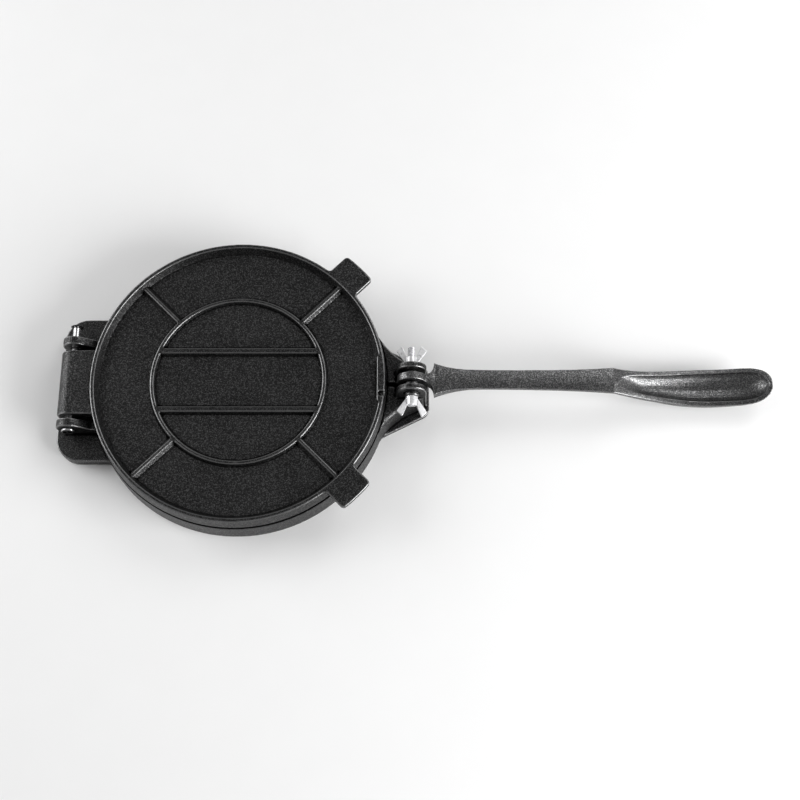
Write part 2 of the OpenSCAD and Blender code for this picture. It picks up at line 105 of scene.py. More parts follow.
class Wire:
    """An output socket that takes part in Python sums and adds the nodes that they need."""

    def __init__(self, shader: "Shader", socket: bpy.types.NodeSocket) -> None:
        """Keeps the socket and the shader that new nodes go into."""
        self.shader = shader
        self.socket = socket

    def _math(self, operation: Operation, *values: Union["Wire", Number]) -> "Wire":
        """Adds one Math node and returns its output."""
        settings = {"operation": operation.value}
        return self.shader.add("ShaderNodeMath", settings, dict(enumerate(values)))

    def __add__(self, other: Union["Wire", Number]) -> "Wire":
        """Sum with a wire or a number."""
        return self._math(Operation.ADD, self, other)

    __radd__ = __add__

    def __sub__(self, other: Union["Wire", Number]) -> "Wire":
        """Difference with a wire or a number."""
        return self._math(Operation.SUBTRACT, self, other)

    def __rsub__(self, other: Number) -> "Wire":
        """A number less this wire."""
        return self._math(Operation.SUBTRACT, other, self)

    def __mul__(self, other: Union["Wire", Number]) -> "Wire":
        """Product with a wire or a number."""
        return self._math(Operation.MULTIPLY, self, other)

    __rmul__ = __mul__


class Shader:
    """The node tree of one material, or of the world."""

    def __init__(self, owner: Union[bpy.types.Material, bpy.types.World]) -> None:
        """Empties the owner's tree.

        Args:
            owner: the material or the world.
        """
        self.owner = owner
        owner.use_nodes = True
        self.tree = owner.node_tree
        self.tree.nodes.clear()

    @classmethod
    def named(cls, name: str) -> "Shader":
        """Starts a new material."""
        return cls(bpy.data.materials.new(name))

    def add(
        self,
        kind: str,
        settings: dict[str, object],
        values: dict[Union[int, str], object],
        output: Union[int, str] = 0,
    ) -> Wire:
        """Adds a node of any type.

        Args:
            kind: the node's type.
            settings: properties of the node, set first; "stops" sets a ramp's stops.
            values: numbers, colours or wires, by socket name or place.
            output: name or place of the output to return.

        Returns:
            The chosen output.
        """
        node = self.tree.nodes.new(kind)
        for key, value in settings.items():
            if key == "stops":
                self._set_stops(node, value)
            else:
                setattr(node, key, value)
        for key, value in values.items():
            if isinstance(value, Wire):
                self.tree.links.new(value.socket, node.inputs[key])
            else:
                node.inputs[key].default_value = value
        return Wire(self, node.outputs[output])

    @staticmethod
    def _set_stops(node: bpy.types.Node, stops: Stops) -> None:
        """Gives a colour ramp grey stops.

        Args:
            node: the ramp.
            stops: the stops, each a place and a level.
        """
        ramp = node.color_ramp
        while len(ramp.elements) > 1:
            ramp.elements.remove(ramp.elements[-1])
        for place, level in stops:
            stop = ramp.elements[0] if place == stops[0][0] else ramp.elements.new(place)
            stop.position = place
            stop.color = (level, level, level, 1.0)

    def place(self) -> Wire:
        """Coordinates in metres that stay with the object."""
        return self.add("ShaderNodeTexCoord", {}, {}, "Object")

    def crest(self) -> Wire:
        """How proud the surface is: 0.5 where flat, more on edges, less in corners."""
        return self.add("ShaderNodeAttribute", {"attribute_name": CREST}, {}, "Fac")

    def noise(self, pitch: float, detail: float = 3.0, roughness: float = 0.5) -> Wire:
        """Noise in 0..1 whose features are about a given size.

        Args:
            pitch: size of a feature in millimetres.
            detail: octaves added.
            roughness: weight of the finer octaves.

        Returns:
            The noise's factor.
        """
        values = {
            "Vector": self.place(),
            "Scale": 1.0 / (pitch * MM),
            "Detail": detail,
            "Roughness": roughness,
        }
        return self.add("ShaderNodeTexNoise", {}, values)

    def ramp(self, value: Wire, stops: Stops) -> Wire:
        """Maps a wire through grey stops."""
        return self.add("ShaderNodeValToRGB", {"stops": stops}, {"Fac": value})

    def blend(self, factor: Wire, first: Colour, second: Colour) -> Wire:
        """Mixes two flat colours by a wire."""
        return self.lay(factor, (*first, 1.0), second)

    def lay(self, factor: Wire, under: Union[Wire, tuple[float, ...]], over: Colour) -> Wire:
        """Lays a flat colour over another.

        Args:
            factor: how much of the upper colour shows.
            under: the lower colour: a wire, or four numbers.
            over: the upper colour.

        Returns:
            The mixed colour.
        """
        factor_in, under_in, over_in, colour_out = 0, 6, 7, 2
        values = {factor_in: factor, under_in: under, over_in: (*over, 1.0)}
        return self.add("ShaderNodeMix", {"data_type": "RGBA"}, values, colour_out)

    def drawn(self, pitch: float, stretch: float, detail: float = 2.0) -> Wire:
        """Noise drawn out into lines along Y.

        Args:
            pitch: width of a line in millimetres.
            stretch: how many times longer than wide it is.
            detail: octaves added.

        Returns:
            The noise's factor.
        """
        squeeze = {"Vector": self.place(), "Scale": (1.0, 1.0 / stretch, 1.0)}
        scaled = self.add("ShaderNodeMapping", {"vector_type": "POINT"}, squeeze)
        values = {"Vector": scaled, "Scale": 1.0 / (pitch * MM), "Detail": detail}
        return self.add("ShaderNodeTexNoise", {}, values)

    def bump(self, height: Wire, depth: float, under: Union[Wire, None] = None) -> Wire:
        """Bends the normal by a height map.

        Args:
            height: the map, 0..1.
            depth: height of a full step in millimetres.
            under: a coarser bump below this one.

        Returns:
            The bent normal.
        """
        below = {} if under is None else {"Normal": under}
        values = {"Height": height, "Distance": depth * MM, "Strength": 1.0, **below}
        return self.add("ShaderNodeBump", {}, values)

    def principled(self, constants: dict[str, object], wires: dict[str, Wire]) -> Wire:
        """Adds the Principled shader.

        Args:
            constants: values set on the shader's own sockets.
            wires: what varies over the surface.

        Returns:
            The shader's output.
        """
        return self.add("ShaderNodeBsdfPrincipled", {}, {**constants, **wires})

    def end(self, surface: Wire) -> Union[bpy.types.Material, bpy.types.World]:
        """Links the surface to the owner's output.

        Args:
            surface: the finished surface, or the world's light.

        Returns:
            The finished material or world.
        """
        of_world = isinstance(self.owner, bpy.types.World)
        kind = "ShaderNodeOutputWorld" if of_world else "ShaderNodeOutputMaterial"
        node = self.tree.nodes.new(kind)
        self.tree.links.new(surface.socket, node.inputs["Surface"])
        return self.owner

    def close(self, constants: dict[str, object], wires: dict[str, Wire]) -> bpy.types.Material:
        """Ends a material in one Principled shader, which takes what principled() takes."""
        return self.end(self.principled(constants, wires))


@dataclass(frozen=True)
class SeasonedIron:
    """Sand cast iron under a baked film of oil.

    Attributes:
        name: the material's name.
        shade: colour between the grains of sand.
        light: colour on top of the grains.
        worn: colour of the proud edges, partly rubbed wear and partly a painted highlight.
        roughness: mean roughness of the film.
        grain: depth of the relief, where 1 is a coarse mould.
        metal: how metallic the film looks.
        sand: size of a grain in millimetres.
        peel: size of a dimple of the orange peel.
        patch: size of an oily patch.
    """

    name: str
    shade: Colour
    light: Colour
    worn: Colour
    roughness: float
    grain: float
    metal: float = 0.93
    sand: float = 1.0
    peel: float = 2.2
    patch: float = 38.0

    def material(self) -> bpy.types.Material:
        """Builds the finish: grain, orange peel, oily patches, painted highlight on worn edges and
        painted corner shade.

        Returns:
            The material.
        """
        s = Shader.named(self.name)
        sand = s.noise(self.sand, detail=3.0, roughness=0.65)
        peel = s.noise(self.peel, detail=2.0, roughness=0.55)
        patch = s.noise(self.patch, detail=4.0, roughness=0.6)
        grit = s.ramp(sand * 0.8 + peel * 0.2, [(0.48, 0.0), (0.64, 1.0)])
        # Proud edges take the worn colour: partly rubbed wear, partly a painted highlight.
        rub = s.ramp(s.crest() + 0.2 * (sand - 0.5), [(0.8, 0.0), (1.0, 1.0)])
        iron = s.blend(grit * 0.85 + patch * 0.15, self.shade, self.light)
        film = self.roughness + 0.14 * (patch - 0.5) + 0.1 * (1 - grit) - 0.13 * rub
        coarse = s.bump(peel, 0.55 * self.grain)
        surface = s.principled(
            {"Metallic": self.metal, "Specular IOR Level": 0.5},
            {
                "Base Color": s.lay(rub, iron, self.worn),
                "Roughness": film,
                "Normal": s.bump(sand, 0.6 * self.grain, coarse),
            },
        )
        # Painted shade: sunk corners, creases and the plate seam fade to a dull black diffuse.
        crevice = s.ramp(s.crest() + 0.1 * (sand - 0.5), [(0.02, 1.0), (0.34, 0.0)])
        painted_shade = s.add("ShaderNodeBsdfDiffuse", {}, {"Color": (*CREVICE_SHADE, 1.0), "Roughness": 1.0})
        return s.end(s.add("ShaderNodeMixShader", {}, {0: crevice, 1: surface, 2: painted_shade}))


@dataclass(frozen=True)
class ZincPlate:
    """Bright zinc plate with the faint frost of a dipped casting.

    Attributes:
        name: the material's name.
        shade: darkest colour of the plate.
        light: lightest colour of the plate.
        roughness: mean roughness.
        cloud: size of a cloud in the plate, in millimetres.
        frost: size of a crystal.
    """

    name: str
    shade: Colour
    light: Colour
    roughness: float
    cloud: float = 2.6
    frost: float = 0.32

    def material(self) -> bpy.types.Material:
        """Builds the finish: cloudy plate, frosted crystals and painted grey shade in the hollows.

        Returns:
            The material.
        """
        s = Shader.named(self.name)
        cloud = s.noise(self.cloud, detail=4.0, roughness=0.6)
        frost = s.noise(self.frost, detail=2.0)
        # Painted shade: wing roots, hub corners and thread roots turn grey.
        hollow_shade = s.ramp(s.crest() + 0.3 * (cloud - 0.5), [(0.24, 1.0), (0.44, 0.0)])
        plate = s.blend(cloud, self.shade, self.light)
        polish = self.roughness + 0.22 * (cloud - 0.5) + 0.1 * (frost - 0.5) + 0.25 * hollow_shade
        return s.close(
            {"Metallic": 0.5, "Specular IOR Level": 0.6},
            {
                "Base Color": s.lay(hollow_shade * 0.8, plate, HOLLOW_SHADE),
                "Roughness": polish,
                "Normal": s.bump(frost, 0.012, s.bump(cloud, 0.05)),
            },
        )


@dataclass(frozen=True)
class DrawnSteel:
    """Drawn rod: fine lines along its length, and painted shade over the face of its head.

    Attributes:
        name: the material's name.
        shade: colour in the lines.
        light: colour between the lines.
        roughness: mean roughness.
        line: width of a line in millimetres.
        stretch: how many times longer than wide a line is.
        cloud: size of a stain.
    """

    name: str
    shade: Colour
    light: Colour
    roughness: float
    line: float = 0.16
    stretch: float = 9.0
    cloud: float = 4.0

    def material(self) -> bpy.types.Material:
        """Builds the finish, its lines drawn out along Y.

        Returns:
            The material.
        """
        s = Shader.named(self.name)
        lines = s.drawn(self.line, self.stretch)
        cloud = s.noise(self.cloud, detail=3.0, roughness=0.6)
        steel = s.blend(lines * 0.6 + cloud * 0.4, self.shade, self.light)
        return s.close(
            {"Metallic": 1.0},
            {
                # Painted shade: where the crest is 0, on the head's face, the colour goes near
                # black.
                "Base Color": s.lay(1.0 - s.crest(), steel, HEAD_SHADE),
                "Roughness": self.roughness + 0.18 * (lines - 0.5) + 0.12 * (cloud - 0.5),
                "Normal": s.bump(lines, 0.015),
            },
        )


@dataclass(frozen=True)
class BlackOxide:
    """Spring steel under black oxide that wears to grey on its edges.

    Attributes:
        name: the material's name.
        shade: colour of the oxide.
        worn: colour of the bare edges.
        roughness: mean roughness.
        cloud: size of a stain in millimetres.
    """

    name: str
    shade: Colour
    worn: Colour
    roughness: float = 0.34
    cloud: float = 1.6

    def material(self) -> bpy.types.Material:
        """Builds the finish: stained oxide, and edges rubbed through to the steel.

        Returns:
            The material.
        """
        s = Shader.named(self.name)
        cloud = s.noise(self.cloud, detail=4.0, roughness=0.6)
        rub = s.ramp(s.crest() + 0.3 * (cloud - 0.5), [(0.6, 0.0), (0.9, 1.0)])
        return s.close(
            {},
            {
                "Base Color": s.blend(rub, self.shade, self.worn),
                "Metallic": rub * 0.8,
                "Roughness": self.roughness + 0.2 * (cloud - 0.5),
                "Normal": s.bump(cloud, 0.02),
            },
        )


@dataclass(frozen=True)
class TableTop:
    """Matt off-white laminate, very faintly mottled.

    Attributes:
        name: the material's name.
        shade: darkest colour.
        light: lightest colour.
        roughness: its roughness.
        mottle: size of a spot in millimetres.
    """

    name: str = "table"
    shade: Colour = (0.86, 0.86, 0.86)
    light: Colour = (0.88, 0.88, 0.88)
    roughness: float = 0.7
    mottle: float = 40.0

    def material(self) -> bpy.types.Material:
        """Builds the finish.

        Returns:
            The material.
        """
        s = Shader.named(self.name)
        spots = s.blend(s.noise(self.mottle, detail=2.0), self.shade, self.light)
        constants = {"Roughness": self.roughness, "Specular IOR Level": 0.2}
        return s.close(constants, {"Base Color": spots})


def vectors(
    owner: bpy.types.bpy_prop_collection, key: str, width: int, kind: type = float
) -> np.ndarray:
    """Reads one property of every item into an array.

    Args:
        owner: the mesh's vertices or edges.
        key: the property's name.
        width: numbers in one item.
        kind: type of the numbers.

    Returns:
        One row per item.
    """
    flat = np.empty(len(owner) * width, kind)
    owner.foreach_get(key, flat)
    return flat.reshape(-1, width)


@dataclass(frozen=True)
class Seam:
    """The painted shadow line where the two round plates meet. Sizes are in millimetres.

    Attributes:
        level: its height above the table.
        radius: where it starts, out from the middle of the press.
        reach: how far out it goes.
        width: half its height.
        darkness: how dark its middle is; past 1 the line gets broader too.
    """

    level: float = 24.9
    radius: float = 124.6
    reach: float = 3.6
    width: float = 1.5
    darkness: float = 1.8

    def closeness(self, places: np.ndarray) -> np.ndarray:
        """How close points are to the line.

        Args:
            places: points in metres.

        Returns:
            1 on the line, and 0 away from it.
        """
        height = np.exp(-((places[:, 2] / MM - self.level) / self.width) ** 2)
        out = np.hypot(places[:, 0], places[:, 1]) / MM - self.radius
        band = np.clip(out, 0.0, 1.0) * np.clip(self.reach - out, 0.0, 1.0)
        return np.clip(self.darkness * height * band, 0.0, 1.0)


def neighbour_mean(
    mesh: bpy.types.Mesh, among: Union[np.ndarray, None] = None
) -> Callable[[np.ndarray], np.ndarray]:
    """Prepares the averaging of values over a mesh.

    Args:
        mesh: the mesh.
        among: true for each vertex whose mean is wanted; all of them if None.

    Returns:
        A function that takes a row for each vertex, and gives each vertex the mean row of its
        neighbours.
    """
    edges = vectors(mesh.edges, "vertices", 2, np.int32)
    if among is not None:
        edges = edges[among[edges].any(axis=1)]
    first, second = edges.T
    count = len(mesh.vertices)
    degree = np.maximum(np.bincount(edges.ravel(), minlength=count), 1)

    def averaged(values: np.ndarray) -> np.ndarray:
        """Takes the means, column by column.

        Args:
            values: a row for each vertex.

        Returns:
            The mean row of each vertex's neighbours.
        """
        columns = [
            np.bincount(first, column[second], count) + np.bincount(second, column[first], count)
            for column in values.T
        ]
        return np.stack(columns, 1) / degree[:, None]

    return averaged


def store_crest(mesh: bpy.types.Mesh, level: np.ndarray) -> None:
    """Stores the level of each vertex, from 0 where sunk to 1 where proud."""
    stored = mesh.attributes.new(CREST, "FLOAT", "POINT")
    stored.data.foreach_set("value", level.astype(np.float32))


def mark_crests(
    mesh: bpy.types.Mesh,
    rounds: tuple[int, int],
    heights: tuple[float, float],
    seam: Union[Seam, None] = None,
) -> None:
    """Stores how proud or sunk each vertex is against the surface round it.

    Args:
        mesh: the mesh, in metres.
        rounds: how often the surface is averaged to find edges, and to find hollows.
        heights: the heights in millimetres that count as fully proud, and as fully sunk.
        seam: a line that counts as sunk, so that it takes the painted shade.
    """
    places = vectors(mesh.vertices, "co", 3)
    normals = vectors(mesh.vertices, "normal", 3)
    averaged = neighbour_mean(mesh)
    mean = places
    reliefs = []
    for turn in range(max(rounds)):
        mean = 0.5 * (mean + averaged(mean))
        if turn + 1 in rounds:
            height = np.sum((places - mean) * normals, axis=1)
            reliefs.append(averaged(height[:, None])[:, 0] / MM)
    edge = np.clip(reliefs[0] / heights[0], 0.0, 1.0)
    hollow = np.clip(reliefs[-1] / heights[1], -1.0, 0.0)
    level = 0.5 + 0.5 * np.where(hollow < -SHALLOW, hollow, edge)
    # The seam counts as sunk, which paints a shadow line where the plates meet.
    if seam is not None:
        level = level * (1.0 - seam.closeness(places))
    store_crest(mesh, level)


@dataclass(frozen=True)
class Worn:
    """A stretch of a casting whose edges are rounder than the rest. Sizes are in millimetres.

    Attributes:
        low: lowest corner of the stretch.
        high: highest corner of the stretch.
        clear_of: radius about the middle of the press that is left alone.
        border: how far in from its bounds the rounding is full.
        rounds: how often the surface is smoothed.
    """

    low: Point
    high: Point
    clear_of: float
    border: float = 2.5
    rounds: int = 110

    def ease(self, mesh: bpy.types.Mesh) -> None:
        """Rounds the stretch's edges.

        Args:
            mesh: the casting's mesh, in metres.
        """
        places = vectors(mesh.vertices, "co", 3)
        spot = places / MM
        out = np.hypot(spot[:, 0], spot[:, 1]) - self.clear_of
        inside = np.minimum(spot - np.array(self.low), np.array(self.high) - spot).min(axis=1)
        share = np.clip(np.minimum(inside, out) / self.border, 0.0, 1.0)[:, None]
        averaged = neighbour_mean(mesh, share[:, 0] > 0.0)
        for _ in range(self.rounds):
            places = places + 0.5 * share * (averaged(places) - places)
        mesh.vertices.foreach_set("co", places.ravel())
        mesh.update()


def shown(
    name: str, mesh: bpy.types.Mesh, finish: bpy.types.Material, smooth_below: float = ALL_SMOOTH
) -> bpy.types.Object:
    """Makes a smooth shaded object of a mesh.

    Args:
        name: the object's name.
        mesh: its mesh, in metres.
        finish: its material.
        smooth_below: edges sharper than this angle in degrees stay crisp.

    Returns:
        The new object.
    """
    obj = bpy.data.objects.new(name, mesh)
    bpy.context.scene.collection.objects.link(obj)
    mesh.materials.clear()
    mesh.materials.append(finish)
    mesh.shade_smooth()
    if smooth_below < ALL_SMOOTH:
        mesh.set_sharp_from_angle(angle=math.radians(smooth_below))
    return obj


def stand_in(piece: bpy.types.Object, body: str, node: str) -> None:
    """Lets a piece ride on a body and take its solid's place.

    Args:
        piece: the piece.
        body: the body that it moves with.
        node: the solid that it replaces.
    """
    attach(piece, body)
    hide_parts(node)
    log.info("%s: %d faces", piece.name, len(piece.data.polygons))


def turned(
    name: str, centre: Point, outline: Sequence[tuple[float, float]], sides: int
) -> bpy.types.Mesh:
    """Turns an outline round an axis along Y.

    Args:
        name: the mesh's name.
        centre: a point on the axis, in metres, from which the outline's places are taken.
        outline: places along Y and radii, in millimetres.
        sides: sides of the turned form.

    Returns:
        The mesh.
    """
    angles = np.linspace(0.0, 2.0 * math.pi, sides, endpoint=False)
    along, radii = np.array(outline).T[:, :, None] * MM
    across, up = radii * np.cos(angles), radii * np.sin(angles)
    rows = np.broadcast_arrays(centre[0] + across, centre[1] + along, centre[2] + up)
    return grid_mesh(name, np.stack(rows, -1))


def in_mm(box: tuple[Point, Point]) -> tuple[np.ndarray, np.ndarray]:
    """Gives the lowest and the highest corner of a box in millimetres."""
    low, high = box
    return np.array(low) / MM, np.array(high) / MM


def modified_mesh(obj: bpy.types.Object) -> bpy.types.Mesh:
    """Makes a mesh of an object as its modifiers leave it."""
    graph = bpy.context.evaluated_depsgraph_get()
    return bpy.data.meshes.new_from_object(obj.evaluated_get(graph))


def grid_mesh(name: str, points: np.ndarray) -> bpy.types.Mesh:
    """Joins rows of points into a closed skin that wraps round along each row.

    Args:
        name: the mesh's name.
        points: rows, columns and coordinates.

    Returns:
        The mesh, with doubled points merged and its normals outwards.
    """
    rows, columns = points.shape[:2]
    index = np.arange(rows * columns).reshape(rows, columns)
    right = np.roll(index, -1, axis=1)
    faces = np.stack([index[:-1], right[:-1], right[1:], index[1:]], -1).reshape(-1, 4)
    mesh = bpy.data.meshes.new(name)
    mesh.from_pydata(points.reshape(-1, 3).tolist(), [], faces.tolist())
    work = bmesh.new()
    work.from_mesh(mesh)
    bmesh.ops.remove_doubles(work, verts=work.verts, dist=DOUBLED * MM)
    bmesh.ops.recalc_face_normals(work, faces=work.faces)
    work.to_mesh(mesh)
    work.free()
    return mesh


@dataclass
class Casting:
    """A rigid cast piece: its solid with every corner rounded as a mould leaves it.

    Attributes:
        node: the solid that it is made from and replaces.
        body: the body that it rides on.
        slot: the record's material slot; not used.
        finish: its finish.
        voxel: size of a cell of the fine mesh, in millimetres.
        passes: how often the fine mesh is smoothed.
        keep: share of its faces that are kept.
        crest_rounds: the rounds that find its edges, and its hollows.
        crest_heights: the heights in millimetres of full edges, and of full hollows.
        seam: the line where it meets its neighbour, painted as a shadow, if it has one.
        worn: the stretch that is rounder than the rest, if it has one.
    """

    node: str
    body: str
    slot: str
    finish: Union[SeasonedIron, ZincPlate]
    voxel: float = 0.7
    passes: int = 7
    keep: float = 0.5
    crest_rounds: tuple[int, int] = (3, 10)
    crest_heights: tuple[float, float] = (0.07, 0.18)
    seam: Union[Seam, None] = None
    worn: Union[Worn, None] = None

    def skin(self, source: bpy.types.Object) -> bpy.types.Mesh:
        """Remeshes the solid finely and eases its edges.

        Args:
            source: the solid's object.

        Returns:
            The eased mesh.
        """
        work = bpy.data.objects.new(self.node + "_work", source.data.copy())
        bpy.context.scene.collection.objects.link(work)
        remesh = work.modifiers.new("remesh", "REMESH")
        remesh.mode = "VOXEL"
        remesh.voxel_size = self.voxel * MM
        ease = work.modifiers.new("ease", "SMOOTH")
        ease.factor = 0.5
        ease.iterations = self.passes
        thin = work.modifiers.new("thin", "DECIMATE")
        thin.ratio = self.keep
        mesh = modified_mesh(work)
        bpy.data.objects.remove(work)
        if self.worn is not None:
            self.worn.ease(mesh)
        mark_crests(mesh, self.crest_rounds, self.crest_heights, self.seam)
        return mesh

    def build(self, frame: dict) -> bpy.types.Object:
        """Makes the piece, and stands it in for its solid.


        Returns:
            The piece.
        """
        mesh = self.skin(frame["nodes"][self.node])
        piece = shown(self.node + "_casting", mesh, self.finish.material())
        stand_in(piece, self.body, self.node)
        return piece


@dataclass
class WingNut(Casting):
    """A cast wing nut whose wings thin towards their tips.

    Attributes:
        root: distance from the axis where a wing starts to thin, in millimetres.
        tip: distance from the axis of a wing's tip.
        tip_share: thickness of the tip as a share of the solid's.
    """

    voxel: float = 0.22
    passes: int = 6
    keep: float = 0.4
    crest_rounds: tuple[int, int] = (12, 16)
    crest_heights: tuple[float, float] = (0.16, 0.16)
    root: float = 5.0
    tip: float = 12.8
    tip_share: float = 0.72

    def build(self, frame: dict) -> bpy.types.Object:
        """Makes the nut, and draws its wings out thinner.


        Returns:
            The nut.
        """
        piece = super().build(frame)
        places = vectors(piece.data.vertices, "co", 3)
        low, high = in_mm(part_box(self.node))
        middle = (low + high) / 2.0 * MM
        across = places[:, [0, 2]] - middle[[0, 2]]
        span = across[np.argmax(np.sum(across**2, axis=1))]
        span = span / np.linalg.norm(span)
        side = np.array([-span[1], span[0]])
        out = np.clip((np.abs(across @ span) / MM - self.root) / (self.tip - self.root), 0.0, 1.0)
        shift = (across @ side) * (self.tip_share - 1.0) * out
        places[:, [0, 2]] += shift[:, None] * side
        piece.data.vertices.foreach_set("co", places.ravel())
        piece.data.update()
        return piece


@dataclass
class Stud:
    """The threaded stud that the lever turns on. Sizes are in millimetres.

    Attributes:
        finish: its finish.
        pitch: how far the thread climbs in a turn.
        depth: depth of the thread.
        lead: how far the chamfer goes below the thread.
        steep: slope of the thread's flanks.
        flat: how much of the root is flat.
        sides: points in a turn.
        rows: rows of points in a pitch.
        crisp: edges sharper than this angle in degrees stay crisp.
        crest_rounds: the rounds that find its crests, and its roots.
        crest_heights: the heights of full crests, and of full roots.
    """

    finish: ZincPlate
    pitch: float = 1.0
    depth: float = 0.5
    lead: float = 0.2
    steep: float = 2.4
    flat: float = 0.1
    sides: int = 40
    rows: int = 6
    crisp: float = 50.0
    crest_rounds: tuple[int, int] = (3, 4)
    crest_heights: tuple[float, float] = (0.2, 0.2)

    def build(self) -> None:
        """Cuts the thread as a grid whose rows follow the helix, with chamfered ends."""
        low, high = in_mm(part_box("pivot_stud"))
        middle = (low + high) / 2.0
        radius = (high[0] - low[0]) / 2.0
        last_row = (high[1] - low[1]) / self.pitch * self.rows
        turn = np.linspace(0.0, 1.0, self.sides, endpoint=False)[None, :]
        step = np.arange(-self.rows, last_row + 1)[:, None] / self.rows
        along = np.clip(low[1] + (step + turn) * self.pitch, low[1], high[1])
        flank = np.clip(self.steep * np.abs((step % 1.0) - 0.5) - self.flat, 0.0, 1.0)
        to_end = np.minimum(along - low[1], high[1] - along)
        chamfer = to_end + radius - self.depth - self.lead
        reach = np.minimum(radius - self.depth * (1.0 - flank), chamfer)
        angle = 2.0 * math.pi * turn
        across, up = reach * np.cos(angle), reach * np.sin(angle)
        thread = np.stack([middle[0] + across, along, middle[2] + up], -1)
        near, far = (
            np.array([[[middle[0], y, middle[2]]]]) * np.ones((1, self.sides, 1))
            for y in (low[1], high[1])
        )
        mesh = grid_mesh("stud", np.concatenate([near, thread, far]) * MM)
        mark_crests(mesh, self.crest_rounds, self.crest_heights)
        piece = shown("threaded_stud", mesh, self.finish.material(), self.crisp)
        stand_in(piece, "press_base", "pivot_stud")


@dataclass
class HingeSet:
    """The hinge pin with its turned head, and the clip that is pushed on its far end.

    Sizes are in millimetres.

    Attributes:
        steel: the pin's finish.
        oxide: the clip's finish.
        shaft: radius of the pin.
        head: radius of its head.
        head_t: thickness of the head.
        sides: sides of the turned pin.
        crisp: edges of the pin sharper than this angle in degrees stay crisp.
        dish: depth of the clip's bowl.
        rise: how steeply the bowl rises to its hole and to its rim.
        curve: the power of that rise.
        hollow_at: where the bowl is lowest, as a share of its width.
        rings: rings of points from the clip's hole to its rim.
        prongs: prongs round its hole.
        prong_steps: points round one prong.
        slot_steps: how many of those steps a slot takes.
        leaf: thickness of the clip's leaf.
        leaf_round: rounding of its edges.
        lift: height of the bowl's lowest ring over the clip's end.
        crest_rounds: the rounds that find the clip's edges, and its hollows.
        crest_heights: the heights of full edges, and of full hollows.
    """

    steel: DrawnSteel
    oxide: BlackOxide
    shaft: float = 3.2
    head: float = 5.9
    head_t: float = 2.0
    sides: int = 56
    crisp: float = 40.0
    dish: float = 0.9
    rise: float = 2.2
    curve: float = 1.5
    hollow_at: float = 0.45
    rings: int = 11
    prongs: int = 6
    prong_steps: int = 12
    slot_steps: int = 2
    leaf: float = 0.5
    leaf_round: float = 0.14
    lift: float = 0.35
    crest_rounds: tuple[int, int] = (2, 3)
    crest_heights: tuple[float, float] = (0.1, 0.1)

    def pin(self) -> None:
        """Turns the pin: a bevelled head with a small raised centre, a shaft and a rounded tail."""
        low, high = in_mm(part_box("hinge_pin"))
        middle = (low + high) / 2.0
        length = high[1] - low[1]
        r, h, t = self.shaft, self.head, self.head_t
        centre = [(0.25, 0.0), (0.25, 1.3), (0.45, 1.6), (0.7, 1.8), (0.7, h - 2.1)]
        face = [(0.35, h - 1.6), (0.12, h - 1.2), (0.3, h - 0.75), (0.9, h - 0.2)]
        rim = [(1.3, h), (1.8, h - 0.05), (t, h - 0.3), (t, r + 0.4), (t + 0.4, r)]
        shaft = [(length - 1.0, r), (length - 0.45, r - 0.15), (length - 0.12, r - 0.5)]
        tail = [(length, r - 1.0), (length, 0.0)]
        axis = (middle[0] * MM, low[1] * MM, middle[2] * MM)
        mesh = turned("pin", axis, centre + face + rim + shaft + tail, self.sides)
        places = vectors(mesh.vertices, "co", 3) / MM
        on_shaft = places[:, 1] - low[1] > t + 0.3
        on_rim = np.hypot(places[:, 0] - middle[0], places[:, 2] - middle[2]) > h - 0.25
        # Crest 0 marks the head's face, which the finish paints dark as shade.
        store_crest(mesh, np.where(on_shaft | on_rim, 1.0, 0.0))
        piece = shown("turned_pin", mesh, self.steel.material(), self.crisp)
        stand_in(piece, "press_base", "hinge_pin")

    def cut_slots(self, mesh: bpy.types.Mesh, middle: np.ndarray, slot_end: float) -> None:
        """Cuts the slots that part the clip's prongs.

        Args:
            mesh: the clip's bowl, in metres.
            middle: the middle of the clip, in millimetres.
            slot_end: radius at which the slots end.
        """
        sector = 360.0 / self.prongs
        slot = sector / self.prong_steps * self.slot_steps
        work = bmesh.new()
        work.from_mesh(mesh)
        centre = Vector((middle[0], 0.0, middle[2])) * MM
        cut = []
        for face in work.faces:
            arm = face.calc_center_median() - centre
            turn = math.degrees(math.atan2(arm.z, arm.x)) % sector
            if turn < slot and math.hypot(arm.x, arm.z) / MM < slot_end:
                cut.append(face)
        bmesh.ops.delete(work, geom=cut, context="FACES")
        work.to_mesh(mesh)
        work.free()

    def clip(self) -> None:
        """Presses the clip: a dished leaf with prongs that bite the pin."""
        low, high = in_mm(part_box("retaining_clip"))
        middle = (low + high) / 2.0
        outer = (high[0] - low[0]) / 2.0
        share = np.linspace(0.0, 1.0, self.rings)[:, None]
        steps = self.prongs * self.prong_steps
        angle = np.linspace(0.0, 2.0 * math.pi, steps, endpoint=False)[None, :]
        radius = self.shaft + (outer - self.leaf / 2.0 - self.shaft) * share
        bowl = self.dish * np.abs(share - self.hollow_at) ** self.curve * self.rise
        across, up = radius * np.cos(angle), radius * np.sin(angle)
        rows = np.broadcast_arrays(middle[0] + across, low[1] + self.lift + bowl, middle[2] + up)
        mesh = grid_mesh("clip", np.stack(rows, -1) * MM)
        self.cut_slots(mesh, middle, self.shaft + 0.5 * (outer - self.shaft))
        piece = shown("push_on_clip", mesh, self.oxide.material())
        leaf = piece.modifiers.new("leaf", "SOLIDIFY")
        leaf.thickness = self.leaf * MM
        leaf.offset = 0.0
        edge = piece.modifiers.new("edge", "BEVEL")
        edge.width = self.leaf_round * MM
        edge.segments = 2
        mesh = modified_mesh(piece)
        piece.modifiers.clear()
        piece.data = mesh
        mark_crests(mesh, self.crest_rounds, self.crest_heights)
        stand_in(piece, "press_base", "retaining_clip")

